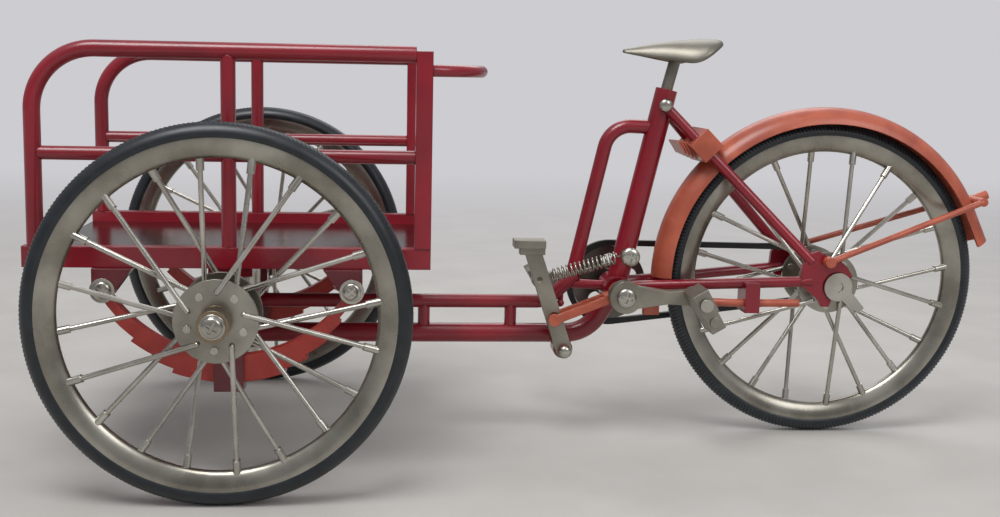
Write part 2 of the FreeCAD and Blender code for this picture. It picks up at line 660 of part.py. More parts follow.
def saddle():
    """Thin domed saddle shell on a round post that slides in the seat tube."""
    head_x, head_z = POST_HEAD
    post = join(seat_line(POST_LOW, POST_BEND, POST_R),
                rod((seat_axis_x(POST_BEND), 0, POST_BEND), (head_x, 0, head_z), POST_R))
    wires = []
    for x, half, top, edge in SADDLE_STATIONS:
        crown = Part.Arc(V(x, -half, edge), V(x, 0, top), V(x, half, edge)).toShape()
        base = Part.LineSegment(V(x, half, edge), V(x, -half, edge)).toShape()
        wires.append(Part.Wire([crown, base]))
    solid = Part.makeLoft(wires, True, False)
    under = solid.copy()
    under.translate(V(0, 0, -SADDLE_THICK))
    shell = solid.cut(under)
    save("saddle_post", post.cut(shell))
    save("saddle", shell)


# ---- brake ----

def lever_angle():
    return math.atan2(LEVER_TOP[1] - LEVER_PIVOT[1], LEVER_TOP[0] - LEVER_PIVOT[0])


def lever_bar(y0, y1, half_width):
    """The tapering bar of the lever between its pivot and its foot pad."""
    angle = lever_angle()
    side = V(-math.sin(angle), 0, math.cos(angle)) * half_width
    ends = (V(LEVER_PIVOT[0], 0, LEVER_PIVOT[1]), V(LEVER_TOP[0], 0, LEVER_TOP[1]))
    corners = (ends[0] + side, ends[1] + side, ends[1] - side, ends[0] - side)
    return plate([(c.x, c.z) for c in corners], y0, y1)


def brake():
    """Foot lever on its riveted lug, the return spring with its screw, and the rod to the hub."""
    y0 = LEVER_Y - LEVER_HALF_THICK
    y1 = LEVER_Y + LEVER_HALF_THICK
    pivot_x, pivot_z = LEVER_PIVOT
    pin_x, pin_z = CLEVIS
    bar = lever_bar(y0, y1, LEVER_HALF_WIDTH)
    pad = block(54.4, 60.7, LEVER_Y - PAD_HALF, LEVER_Y + PAD_HALF, 40.1, 41.7)
    step = block(55.6, 60.7, y0 - 0.6, y1 + 0.6, 38.7, 40.1)
    lever = join(bar, cross_rod(pivot_x, pivot_z, y0, y1, LEVER_HALF_WIDTH), pad, step)
    lever = cope(lever, cross_rod(pivot_x, pivot_z, y0 - 1, y1 + 1, 0.9 + RUNNING_FIT))
    clear = CLEVIS_PIN_R + 0.1
    for rise in (0, SLOT_RISE / 2, SLOT_RISE):
        lever = lever.cut(cross_rod(pin_x, pin_z + rise, y0 - 1, y1 + 1, clear))
    hook_x, hook_z = SPRING_HOOK
    lever = lever.cut(cross_rod(hook_x, hook_z, y0 - 1, y1 + 1, 0.55))
    save("brake_lever", lever)
    lug = join(cross_rod(pivot_x, pivot_z, y1 + 0.3, -1.6, 2.0),
               block(pivot_x - 1.6, pivot_x + 1.6, y1 + 0.3, -1.0, pivot_z - 1.0, LOWER_TUBE_Z),
               cross_rod(pivot_x, pivot_z, y0 - 0.3, y1 + 0.5, 0.9),
               cross_rod(pivot_x, pivot_z, y0 - 0.9, y0 - 0.3, 1.3))
    save("brake_pivot_lug", lug.cut(lower_tube()))
    anchor_x, anchor_z = SPRING_ANCHOR
    inside = -SEAT_TUBE_R + 0.6
    screw = join(cross_rod(anchor_x, anchor_z, -8.0, inside, 1.0), pan_head(anchor_x, anchor_z, -8.0, -1, 2.0))
    save("spring_screw", screw.cut(seat_line(CRANK_Z, SEAT_TUBE_TOP, SEAT_TUBE_R)))
    start = V(hook_x, LEVER_Y, hook_z)
    finish = V(anchor_x - 1.8, LEVER_Y, anchor_z - 0.4)
    along = (finish - start).normalize()
    save("brake_spring", rod(start + along * 2.4, finish, BRAKE_SPRING_R))
    brake_rod(pin_x, pin_z, y0, y1)


def brake_rod(pin_x, pin_z, y0, y1):
    """The moulded pull rod: a fork on the lever's pin, an eye round the spindle, a straight end."""
    pin = cross_rod(pin_x, pin_z, y0 - 1.4, y1 + 1.4, CLEVIS_PIN_R)
    boss = cross_rod(pin_x, pin_z, y0 - 1.5, y0 - 0.3, 1.25)
    back = cross_rod(pin_x, pin_z, y1 + 0.3, y1 + 1.5, 1.25)
    prongs = []
    for low in (y0 - 1.5, y1 + 0.3):
        prongs.append(plate(((pin_x, pin_z - 0.9), (pin_x, pin_z + 0.9), (FORK_END, CRANK_Z + 0.2),
                             (FORK_END, CRANK_Z - 1.6)), low, low + 1.2))
    yoke = plate(((FORK_END - 1.6, CRANK_Z - 2.0), (FORK_END - 1.6, CRANK_Z - 0.2),
                  (FORK_END + 0.4, CRANK_Z + 0.4), (FORK_END + 0.4, CRANK_Z - 1.4)), y0 - 1.5, y1 + 1.5)
    loop_half = SPINDLE_R + 0.35
    eye_low = LEVER_Y - ROD_R
    eye_high = LEVER_Y + ROD_R
    slot = join(cross_rod(CRANK_X - 0.2, CRANK_Z, eye_low, eye_high, loop_half),
                cross_rod(CRANK_X + 2.2, CRANK_Z, eye_low, eye_high, loop_half),
                block(CRANK_X - 0.2, CRANK_X + 2.2, eye_low, eye_high, CRANK_Z - loop_half, CRANK_Z + loop_half))
    eye = join(cross_rod(CRANK_X - 0.2, CRANK_Z, eye_low, eye_high, loop_half + 0.9),
               cross_rod(CRANK_X + 2.2, CRANK_Z, eye_low, eye_high, loop_half + 0.9),
               block(CRANK_X - 0.2, CRANK_X + 2.2, eye_low, eye_high,
                     CRANK_Z - loop_half - 0.9, CRANK_Z + loop_half + 0.9)).cut(slot)
    path = ((CRANK_X + 4.2, LEVER_Y, CRANK_Z - 0.6), (90.0, LEVER_Y, ROD_FAR_Z),
            (99.0, ROD_FAR_Y, ROD_FAR_Z), (ROD_END_X, ROD_FAR_Y, ROD_FAR_Z))
    rear = bent_rod(path, (12.0, 12.0), ROD_R)
    tab = block(81.4, 84.6, LEVER_Y - ROD_R, LEVER_Y + ROD_R, 26.4, CRANK_Z - 0.9)
    save("brake_rod", join(pin, boss, back, *prongs, yoke, eye, rear, tab))
    guide = block(101.5, 104.5, ROD_FAR_Y - 1.9, -5.6, 27.5, 33.6)
    bore = rod((100, ROD_FAR_Y, ROD_FAR_Z), (106, ROD_FAR_Y, ROD_FAR_Z), ROD_R + RUNNING_FIT)
    save("brake_rod_guide", cope(guide, bore, chain_stay()))


os.makedirs("parts", exist_ok=True)
for side_name, side_sign in SIDES:
    front_wheel(side_name, side_sign)
rear_wheel()
cage_sides()
base_frame()
handlebar()
leaf_spring(steering())
stays_shape = rear_triangle(spine())
rear_axle()
mudguard(stays_shape)
drive()
saddle()
brake()
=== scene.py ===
import math

import bpy
from mathutils import Matrix, Vector


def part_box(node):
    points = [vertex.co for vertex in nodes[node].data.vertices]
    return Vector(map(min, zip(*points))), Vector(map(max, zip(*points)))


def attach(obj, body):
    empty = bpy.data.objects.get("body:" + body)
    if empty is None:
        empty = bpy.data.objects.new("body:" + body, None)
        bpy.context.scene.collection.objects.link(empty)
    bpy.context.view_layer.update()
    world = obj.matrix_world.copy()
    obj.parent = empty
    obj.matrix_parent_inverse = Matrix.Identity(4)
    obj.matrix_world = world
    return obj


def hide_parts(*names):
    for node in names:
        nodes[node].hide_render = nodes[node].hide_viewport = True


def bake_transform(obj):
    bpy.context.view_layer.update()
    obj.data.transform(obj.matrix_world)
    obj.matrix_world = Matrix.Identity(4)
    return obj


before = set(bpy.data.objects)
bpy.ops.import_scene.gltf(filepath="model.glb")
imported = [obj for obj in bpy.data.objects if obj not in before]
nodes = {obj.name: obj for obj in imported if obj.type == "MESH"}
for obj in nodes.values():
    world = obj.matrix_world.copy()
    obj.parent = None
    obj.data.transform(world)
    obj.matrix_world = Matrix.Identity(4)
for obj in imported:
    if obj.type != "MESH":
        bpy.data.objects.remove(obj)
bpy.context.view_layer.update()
mm = 0.001
print("frame loaded, nodes:", len(nodes))


def hexColour(text):
    channels = [int(text[i:i + 2], 16) / 255 for i in (1, 3, 5)]
    return [c / 12.92 if c < 0.04045 else ((c + 0.055) / 1.055) ** 2.4 for c in channels] + [1.0]


def addNode(tree, kind, settings=None, links=None):
    # settings name a socket or a property of the node, links join sockets to it
    node = tree.nodes.new(kind)
    for key, value in (settings or {}).items():
        if isinstance(key, int) or key in node.inputs:
            node.inputs[key].default_value = value
        else:
            setattr(node, key, value)
    for socket, source in (links or {}).items():
        tree.links.new(source, node.inputs[socket])
    return node


def startMaterial(name, shaderSettings):
    material = bpy.data.materials.new(name)
    material.use_nodes = True
    tree = material.node_tree
    tree.nodes.clear()
    shader = addNode(tree, "ShaderNodeBsdfPrincipled", shaderSettings)
    addNode(tree, "ShaderNodeOutputMaterial", {}, {"Surface": shader.outputs["BSDF"]})
    coords = addNode(tree, "ShaderNodeTexCoord").outputs["Object"]
    return material, tree, shader, coords


def blendColours(tree, fac, low, high, lowAt=0.35, highAt=0.65):
    ramp = addNode(tree, "ShaderNodeValToRGB", {}, {"Fac": fac})
    ramp.color_ramp.elements[0].position = lowAt
    ramp.color_ramp.elements[0].color = hexColour(low)
    ramp.color_ramp.elements[1].position = highAt
    ramp.color_ramp.elements[1].color = hexColour(high)
    return ramp.outputs["Color"]


def meshObject(name, verts, faces, smooth=True):
    mesh = bpy.data.meshes.new(name)
    mesh.from_pydata([tuple(v) for v in verts], [], faces)
    mesh.validate()
    obj = bpy.data.objects.new(name, mesh)
    bpy.context.scene.collection.objects.link(obj)
    for polygon in mesh.polygons:
        polygon.use_smooth = smooth
    return obj


def middle(node):
    low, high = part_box(node)
    return (low + high) / 2


kingpin = middle("kingpin")


def place(x, y, z):
    # millimetres back from the front axle, across and up, turned into the row frame
    return Vector((kingpin.x + x * mm, y * mm, z * mm))


def softEdges(tree, radius, height, strength, depth, shader):
    # small bumps over edges that catch the light as if they were rounded
    rounded = addNode(tree, "ShaderNodeBevel", {"samples": 4, "Radius": radius})
    bump = addNode(tree, "ShaderNodeBump", {"Strength": strength, "Distance": depth},
                   {"Height": height, "Normal": rounded.outputs["Normal"]})
    tree.links.new(bump.outputs["Normal"], shader.inputs["Normal"])


def bake(obj, name):
    # the evaluated shape becomes a plain mesh and the helper object goes
    depsgraph = bpy.context.evaluated_depsgraph_get()
    mesh = bpy.data.meshes.new_from_object(obj.evaluated_get(depsgraph))
    mesh.name = name
    plain = bpy.data.objects.new(name, mesh)
    bpy.context.scene.collection.objects.link(plain)
    return plain


def dropObjects(*objects):
    for obj in objects:
        bpy.data.objects.remove(obj)


grainSize = {
    "enamelCloud": 14 * mm,
    "orangePeel": 1.1 * mm,    # coarser than the real coat's, so that it shows
    "flowMark": 7 * mm,
    "mouldSkin": 0.7 * mm,
    "brushLine": 0.35 * mm,    # coarser than real brushing, so that it shows
    "dullPatch": 9 * mm,
    "dust": 3 * mm,
    "pores": 0.4 * mm,
}


def crimsonEnamel(name, deep, bright):
    # stove enamel over die-cast zinc: a glossy coat that hides the metal, faint orange peel
    material, tree, shader, coords = startMaterial(name, {
        "Roughness": 0.3, "IOR": 1.5, "Coat Weight": 0.35, "Coat Roughness": 0.1})
    cloud = addNode(tree, "ShaderNodeTexNoise", {"Scale": 1 / grainSize["enamelCloud"], "Detail": 3.0},
                    {"Vector": coords})
    peel = addNode(tree, "ShaderNodeTexNoise", {"Scale": 1 / grainSize["orangePeel"], "Detail": 2.0},
                   {"Vector": coords})
    tree.links.new(blendColours(tree, cloud.outputs["Fac"], deep, bright), shader.inputs["Base Color"])
    softEdges(tree, 0.3 * mm, peel.outputs["Fac"], 0.12, 0.05 * mm, shader)
    return material


def mouldedPlastic(name, deep, bright, soft):
    # unpainted translucent polypropylene moulding: light sinks in, satin skin with flow marks
    material, tree, shader, coords = startMaterial(name, {
        "Roughness": 0.36, "IOR": 1.49, "Subsurface Weight": soft, "Subsurface Scale": 1.2 * mm,
        "Subsurface Radius": (1.0, 0.45, 0.3), "Coat Weight": 0.12, "Coat Roughness": 0.2})
    flow = addNode(tree, "ShaderNodeTexNoise", {
        "Scale": 1 / grainSize["flowMark"], "Detail": 4.0, "Distortion": 0.6}, {"Vector": coords})
    skin = addNode(tree, "ShaderNodeTexNoise", {"Scale": 1 / grainSize["mouldSkin"], "Detail": 2.0},
                   {"Vector": coords})
    tree.links.new(blendColours(tree, flow.outputs["Fac"], deep, bright), shader.inputs["Base Color"])
    softEdges(tree, 0.25 * mm, skin.outputs["Fac"], 0.2, 0.04 * mm, shader)
    return material


def brushedNickel(name, deep, bright, rough, axle=None, along=(1, 1, 1), edge=0.15 * mm, tarnish=None):
    # nickel plate over brushed zinc: warm grey metal, lines run along the brushing, dull patches
    material, tree, shader, coords = startMaterial(name, {"Metallic": 1.0})
    if axle is None:
        lines = addNode(tree, "ShaderNodeMapping", {"Scale": along}, {"Vector": coords}).outputs["Vector"]
    else:
        # turned on a lathe: lines circle the axle, so the pattern reads the distance from it
        centred = addNode(tree, "ShaderNodeVectorMath", {"operation": "SUBTRACT", 1: axle}, {0: coords})
        parts = addNode(tree, "ShaderNodeSeparateXYZ", {}, {"Vector": centred.outputs["Vector"]})
        flat = addNode(tree, "ShaderNodeCombineXYZ", {}, {"X": parts.outputs["X"], "Y": parts.outputs["Z"]})
        reach = addNode(tree, "ShaderNodeVectorMath", {"operation": "LENGTH"}, {0: flat.outputs["Vector"]})
        across = addNode(tree, "ShaderNodeCombineXYZ", {},
                         {"X": reach.outputs["Value"], "Y": parts.outputs["Y"]})
        lines = across.outputs["Vector"]
    brush = addNode(tree, "ShaderNodeTexNoise", {"Scale": 1 / grainSize["brushLine"], "Detail": 3.0},
                    {"Vector": lines})
    patch = addNode(tree, "ShaderNodeTexNoise", {"Scale": 1 / grainSize["dullPatch"], "Detail": 5.0},
                    {"Vector": coords})
    colour = blendColours(tree, patch.outputs["Fac"], deep, bright)
    if tarnish:
        # the hub's barrel and nose are tarnished, the flange and the rim are not
        worn = addNode(tree, "ShaderNodeMapRange", {"From Min": tarnish[0], "From Max": tarnish[1]},
                       {"Value": reach.outputs["Value"]})
        stain = addNode(tree, "ShaderNodeMix", {"data_type": "RGBA", 6: hexColour("#8d7c66")},
                        {0: worn.outputs["Result"], 7: colour})
        colour = stain.outputs[2]
    tree.links.new(colour, shader.inputs["Base Color"])
    gloss = addNode(tree, "ShaderNodeMapRange", {"To Min": rough * 0.8, "To Max": rough * 1.3},
                    {"Value": patch.outputs["Fac"]})
    tree.links.new(gloss.outputs["Result"], shader.inputs["Roughness"])
    softEdges(tree, edge, brush.outputs["Fac"], 0.25, 0.03 * mm, shader)
    return material


def mouldedRubber(name, deep, bright, rough):
    # moulded vinyl rubber: near black, soft wide highlight, a little dust in the pores
    material, tree, shader, coords = startMaterial(name, {"IOR": 1.52})
    dust = addNode(tree, "ShaderNodeTexNoise", {"Scale": 1 / grainSize["dust"], "Detail": 6.0},
                   {"Vector": coords})
    pores = addNode(tree, "ShaderNodeTexNoise", {"Scale": 1 / grainSize["pores"], "Detail": 2.0},
                    {"Vector": coords})
    colour = blendColours(tree, dust.outputs["Fac"], deep, bright, 0.4, 0.8)
    tree.links.new(colour, shader.inputs["Base Color"])
    gloss = addNode(tree, "ShaderNodeMapRange", {"To Min": rough * 0.85, "To Max": rough * 1.2},
                    {"Value": dust.outputs["Fac"]})
    tree.links.new(gloss.outputs["Result"], shader.inputs["Roughness"])
    bump = addNode(tree, "ShaderNodeBump", {"Strength": 0.3, "Distance": 0.04 * mm},
                   {"Height": pores.outputs["Fac"]})
    tree.links.new(bump.outputs["Normal"], shader.inputs["Normal"])
    return material


frontAxle = middle("front_hub_left")
rearAxle = middle("rear_hub")
crankAxle = middle("crank_spindle")
hubNose = (2.6 * mm, 3.1 * mm)    # radii between which the hub's tarnish fades out
finish = {
    "enamel": crimsonEnamel("crimsonEnamel", "#74081a", "#8c0b21"),
    # the frame's own enamel painted darker: painted shade for the spring brackets and axle hangers, which sit
    # in shadow under the box
    "enamelPaintedShade": crimsonEnamel("enamelPaintedShade", "#580917", "#6c0b1e"),
    "orange": mouldedPlastic("orangePolypropylene", "#9f4b36", "#ba6148", 0.25),
    "springPlastic": mouldedPlastic("redPolypropylene", "#9c2c27", "#b53d33", 0.2),
    "spokeNickel": brushedNickel("platedSpoke", "#a5a299", "#c8c5bd", 0.26, along=(1, 6, 1)),
    "frontTurned": brushedNickel("turnedNickelFront", "#858177", "#aaa79d", 0.27, axle=frontAxle,
                                 tarnish=hubNose),
    "rearTurned": brushedNickel("turnedNickelRear", "#858177", "#aaa79d", 0.27, axle=rearAxle,
                                tarnish=hubNose),
    "crankTurned": brushedNickel("greyedRing", "#5c5955", "#7a7670", 0.36, axle=crankAxle),
    "saddleNickel": brushedNickel("brushedSaddle", "#757168", "#8e8a80", 0.42, along=(0.3, 6, 1)),
    "screwZinc": brushedNickel("zincPlate", "#a19e95", "#c3c0b7", 0.24, edge=0.08 * mm),
    "springWire": brushedNickel("springWire", "#8d897e", "#b3afa4", 0.24, edge=0.04 * mm),
    "castZinc": brushedNickel("rawDiecast", "#827e74", "#a5a195", 0.44, edge=0.25 * mm),
    "floorSheet": brushedNickel("polishedSheet", "#7d7a76", "#95928d", 0.13, along=(0.2, 8, 1)),
    "tyreRubber": mouldedRubber("tyreVinyl", "#10161b", "#1e252b", 0.36),
    # the tyre rubber painted lighter: a painted highlight, so that the rear tyre's ribs show as if they
    # caught the light
    "ribRubberPaintedHighlight": mouldedRubber("ribPaintedHighlight", "#2b333a", "#3d464d", 0.5),
    "loopRubber": mouldedRubber("loopRubber", "#0c0d0f", "#191b1d", 0.5),
}
finishOf = {
    "floor_plate": "floorSheet", "mudguard": "orange", "mudguard_clip": "orange", "mudguard_stay": "orange",
    "brake_rod": "orange", "leaf_spring_left": "springPlastic", "leaf_spring_right": "springPlastic",
    # the brackets and hangers take the darker enamel copy, which is painted shade
    "spring_brackets": "enamelPaintedShade", "axle_hangers": "enamelPaintedShade", "saddle": "saddleNickel",
    "saddle_post": "saddleNickel", "front_axle": "screwZinc", "front_axle_screws": "screwZinc",
    "spring_bolts": "screwZinc", "spring_screw": "screwZinc", "crank_screws": "screwZinc",
    "pedal_pins": "screwZinc", "seat_pin": "screwZinc", "rear_axle": "screwZinc", "axle_nuts": "screwZinc",
    "brake_spring": "screwZinc", "kingpin": "screwZinc", "crank_arms": "castZinc", "pedal_left": "castZinc",
    "pedal_right": "castZinc", "brake_lever": "castZinc", "crank_spindle": "crankTurned",
    "chainring": "crankTurned", "rear_sprocket": "rearTurned", "drive_chain": "loopRubber",
    "front_hub_left": "frontTurned", "front_hub_right": "frontTurned", "rear_hub": "rearTurned",
    "front_rim_left": "frontTurned", "front_rim_right": "frontTurned", "rear_rim": "rearTurned",
    "front_spokes_left": "spokeNickel", "front_spokes_right": "spokeNickel", "rear_spokes": "spokeNickel",
    "front_tyre_left": "tyreRubber", "front_tyre_right": "tyreRubber", "rear_tyre": "tyreRubber",
}
for nodeName, node in nodes.items():
    node.data.materials.clear()
    node.data.materials.append(finish[finishOf.get(nodeName, "enamel")])
print("finishes made:", len(finish))


def startGroup(name, inputs):
    # a Geometry Nodes tree with its named inputs
    tree = bpy.data.node_groups.new(name, "GeometryNodeTree")
    for label, kind in inputs:
        tree.interface.new_socket(label, in_out="INPUT", socket_type="NodeSocket" + kind)
    tree.interface.new_socket("Geometry", in_out="OUTPUT", socket_type="NodeSocketGeometry")
    return tree, addNode(tree, "NodeGroupInput")


def endGroup(tree, given, geometry):
    # every tree ends as real mesh in its finish
    real = addNode(tree, "GeometryNodeRealizeInstances", {}, {"Geometry": geometry})
    coated = addNode(tree, "GeometryNodeSetMaterial", {}, {"Geometry": real.outputs["Geometry"],
                                                           "Material": given.outputs["Finish"]})
    addNode(tree, "NodeGroupOutput", {}, {"Geometry": coated.outputs["Geometry"]})
    return tree


def ringTree():
    # copies of one shape turned evenly about an axle that runs along Y
    tree, given = startGroup("ringOfCopies", (
        ("Geometry", "Geometry"), ("Count", "Int"), ("Centre", "Vector"), ("Finish", "Material")))
    centred = addNode(tree, "ShaderNodeVectorMath", {"operation": "SCALE", "Scale": -1.0},
                      {0: given.outputs["Centre"]})
    moved = addNode(tree, "GeometryNodeTransform", {}, {"Geometry": given.outputs["Geometry"],
                                                       "Translation": centred.outputs["Vector"]})
    index = addNode(tree, "GeometryNodeInputIndex")
    step = addNode(tree, "ShaderNodeMath", {"operation": "DIVIDE", 0: math.tau}, {1: given.outputs["Count"]})
    angle = addNode(tree, "ShaderNodeMath", {"operation": "MULTIPLY"},
                    {0: index.outputs["Index"], 1: step.outputs["Value"]})
    turn = addNode(tree, "ShaderNodeCombineXYZ", {}, {"Y": angle.outputs["Value"]})
    points = addNode(tree, "GeometryNodePoints", {}, {"Count": given.outputs["Count"],
                                                      "Position": given.outputs["Centre"]})
    copies = addNode(tree, "GeometryNodeInstanceOnPoints", {}, {
        "Points": points.outputs["Points"], "Instance": moved.outputs["Geometry"],
        "Rotation": turn.outputs["Vector"]})
    return endGroup(tree, given, copies.outputs["Instances"])


def coilTree():
    # a close-wound wire coil that rises along Z
    tree, given = startGroup("wireCoil", (
        ("Geometry", "Geometry"), ("Turns", "Float"), ("Radius", "Float"), ("Length", "Float"),
        ("Wire", "Float"), ("Finish", "Material")))
    spiral = addNode(tree, "GeometryNodeCurveSpiral", {"Resolution": 16}, {
        "Rotations": given.outputs["Turns"], "Start Radius": given.outputs["Radius"],
        "End Radius": given.outputs["Radius"], "Height": given.outputs["Length"]})
    section = addNode(tree, "GeometryNodeCurvePrimitiveCircle", {"Resolution": 8},
                      {"Radius": given.outputs["Wire"]})
    swept = addNode(tree, "GeometryNodeCurveToMesh", {"Fill Caps": True}, {
        "Curve": spiral.outputs["Curve"], "Profile Curve": section.outputs["Curve"]})
    smooth = addNode(tree, "GeometryNodeSetShadeSmooth", {}, {0: swept.outputs["Mesh"]})
    return endGroup(tree, given, smooth.outputs[0])


ringOfCopies = ringTree()
wireCoil = coilTree()


def runTree(holder, tree, name, given):
    # fill the tree's named inputs, bake what it makes and drop the helper
    modifier = holder.modifiers.new(name, "NODES")
    modifier.node_group = tree
    for item in tree.interface.items_tree:
        if item.in_out == "INPUT" and item.name in given:
            modifier[item.identifier] = given[item.name]
    holder.data.update()
    made = bake(holder, name)
    dropObjects(holder)
    return made


def tube(name, points, radius):
    # a round wire through the points, closed at both ends
    sides = 10
    verts = []
    for k, point in enumerate(points):
        run = (points[min(k + 1, len(points) - 1)] - points[max(k - 1, 0)]).normalized()
        first = run.cross(Vector((0, 1, 0.01))).normalized()
        second = run.cross(first)
        for side in range(sides):
            angle = math.tau * side / sides
            verts.append(point + (first * math.cos(angle) + second * math.sin(angle)) * radius)
    faces = []
    for k in range(len(points) - 1):
        for side in range(sides):
            after = (side + 1) % sides
            here, ahead = k * sides, (k + 1) * sides
            faces.append((here + side, here + after, ahead + after, ahead + side))
    faces.append(tuple(reversed(range(sides))))
    faces.append(tuple(range((len(points) - 1) * sides, len(points) * sides)))
    return meshObject(name, verts, faces)


def lathe(name, profile, centre, steps):
    # a closed profile of (radius, across) turned about a line along Y through the centre
    verts = []
    for step in range(steps):
        angle = math.tau * step / steps
        for radius, across in profile:
            verts.append(centre + Vector((radius * math.cos(angle), across, radius * math.sin(angle))))
    faces = []
    size = len(profile)
    for step in range(steps):
        after = (step + 1) % steps
        for k in range(size):
            here = (k + 1) % size
            faces.append((step * size + k, step * size + here, after * size + here, after * size + k))
    return meshObject(name, verts, faces)


tyreShape = {
    "steps": 144,          # around the wheel
    "sectionSteps": 20,    # around the rubber's section
    "ribCount": 264,
    "ribHeight": {"front": 0.08 * mm, "rear": 0.15 * mm},
    "ribWidth": 0.4 * mm,
    "ribReach": {"front": 34, "rear": 78},   # degrees each side of the crown
    "ribSlant": 2.4,       # degrees of wheel angle over the whole rib
    "ribStations": 9,      # along one rib
    "ribFade": 0.8,        # share of its height that a rib loses at its ends
    "ribTop": 0.55,        # share of its width that is flat on top
    "ribSink": 0.6,        # how deep its sides reach into the casing, in rib heights
    "rimGap": 0.02 * mm,
    "beadDepth": 1.6 * mm,
    "beadShare": 0.6,      # of the rim's width
}


def treadRib(centre, crownR, sectionR, end):
    # one slanted rib laid over the crown of the tyre
    shape = tyreShape
    stations = shape["ribStations"]
    top, sink = shape["ribTop"], shape["ribSink"]
    verts = []
    for k in range(stations):
        t = k / (stations - 1) * 2 - 1
        bend = math.radians(shape["ribReach"][end] * t)
        fade = 1 - shape["ribFade"] * abs(t) ** 4
        for side, lift in ((-1, -sink), (-top, fade), (top, fade), (1, -sink)):
            radius = crownR - sectionR + (sectionR + lift * shape["ribHeight"][end]) * math.cos(bend)
            across = (sectionR + lift * shape["ribHeight"][end]) * math.sin(bend)
            spin = math.radians(shape["ribSlant"] * t / 2) + side * shape["ribWidth"] / 2 / crownR
            verts.append(centre + Vector((radius * math.cos(spin), across, radius * math.sin(spin))))
    faces = []
    for k in range(stations - 1):
        for j in range(4):
            a = 4 * k + j
            b = 4 * k + (j + 1) % 4
            faces.append((a, b, b + 4, a + 4))
    faces.append((3, 2, 1, 0))
    last = 4 * (stations - 1)
    faces.append((last, last + 1, last + 2, last + 3))
    return meshObject("rib", verts, faces, smooth=False)


def tyre(name, node, rim, body):
    low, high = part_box(node)
    centre = (low + high) / 2
    outerR = (high.z - low.z) / 2
    sectionR = (high.y - low.y) / 2
    rimLow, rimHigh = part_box(rim)
    end = "front" if "front" in node else "rear"
    crownR = outerR - tyreShape["ribHeight"][end]
    seatR = rimShape["lip"] + tyreShape["rimGap"]
    profile = []
    start = math.acos((seatR - (crownR - sectionR)) / sectionR)
    for k in range(tyreShape["sectionSteps"] + 1):
        bend = -start + 2 * start * k / tyreShape["sectionSteps"]
        profile.append((crownR - sectionR + sectionR * math.cos(bend), sectionR * math.sin(bend)))
    bead = (rimHigh.y - rimLow.y) / 2 * tyreShape["beadShare"]
    beadR = seatR - tyreShape["beadDepth"]
    profile += [(beadR, bead), (beadR, -bead)]
    casing = lathe(name, profile, centre, tyreShape["steps"])
    casing.data.materials.append(finish["tyreRubber"])
    # the rear ribs take the lighter rubber, a painted highlight; the front ribs keep the casing's rubber
    ribs = runTree(treadRib(centre, crownR, sectionR, end), ringOfCopies, name + "Ribs", {
        "Count": tyreShape["ribCount"], "Centre": list(centre),
        "Finish": finish["tyreRubber" if end == "front" else "ribRubberPaintedHighlight"]})
    return joinPieces([casing, ribs], name, body, [node])


def joinPieces(objects, name, body, replaced):
    # one piece with its faces outwards, riding on its body; without one it is left unattached
    bpy.ops.object.select_all(action="DESELECT")
    for obj in objects:
        obj.select_set(True)
    bpy.context.view_layer.objects.active = objects[0]
    if len(objects) > 1:
        bpy.ops.object.join()
    piece = objects[0]
    piece.name = name
    bpy.ops.object.mode_set(mode="EDIT")
    bpy.ops.mesh.select_all(action="SELECT")
    bpy.ops.mesh.normals_make_consistent(inside=False)
    bpy.ops.object.mode_set(mode="OBJECT")
    if body:
        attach(piece, body)
    if replaced:
        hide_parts(*replaced)
    return piece


rimShape = {
    "steps": 144,
    "lip": 30.9 * mm,
    # radius and distance from the middle plane in mm, one side, from the inner face round to the channel
    "section": ((26.9, 0.15), (26.95, 0.4), (27.2, 0.72), (27.6, 1.0), (28.1, 1.27), (28.7, 1.5),
                (29.3, 1.67), (29.9, 1.77), (30.5, 1.8), (30.8, 1.72), (30.9, 1.58), (30.9, 1.42),
                (30.6, 1.32), (29.0, 1.25), (28.75, 1.12), (28.65, 0.6)),
}


def rim(name, node, body):
    centre = middle(node)
    near = [(r * mm, across * mm) for r, across in rimShape["section"]]
    far = [(r, -across) for r, across in reversed(near)]
    ring = lathe(name, near + far, centre, rimShape["steps"])
    ring.data.materials.append(finish["frontTurned" if "front" in node else "rearTurned"])
    return joinPieces([ring], name, body, [node])


wheelSets = (
    ("frontLeft", "left_front_wheel", "front_{}_left"),
    ("frontRight", "right_front_wheel", "front_{}_right"),
    ("rear", "rear_wheel", "rear_{}"),
)
for wheelName, wheelBody, pattern in wheelSets:
    tyre(wheelName + "Tyre", pattern.format("tyre"), pattern.format("rim"), wheelBody)
    rim(wheelName + "Rim", pattern.format("rim"), wheelBody)
print("tyres and rims built")

springShape = {
    # places in mm, back from the front axle, across and up
    "hook": (59.8, -7.0, 33.6),
    "coilStart": (62.3, -7.0, 34.33),
    "coilEnd": (75.4, -7.0, 38.0),
    "anchor": (78.2, -7.0, 38.4),
    "turns": 15.0,
    "outerR": 1.45 * mm,
    "wireR": 0.24 * mm,
    "liftShare": 0.7,      # of the coil's radius, where the end wires leave it
    "bendShare": 0.45,     # of the way from each end to the coil, where the wire bends
    "tipShare": 0.3,       # of the same way, where the rear wire stops
}


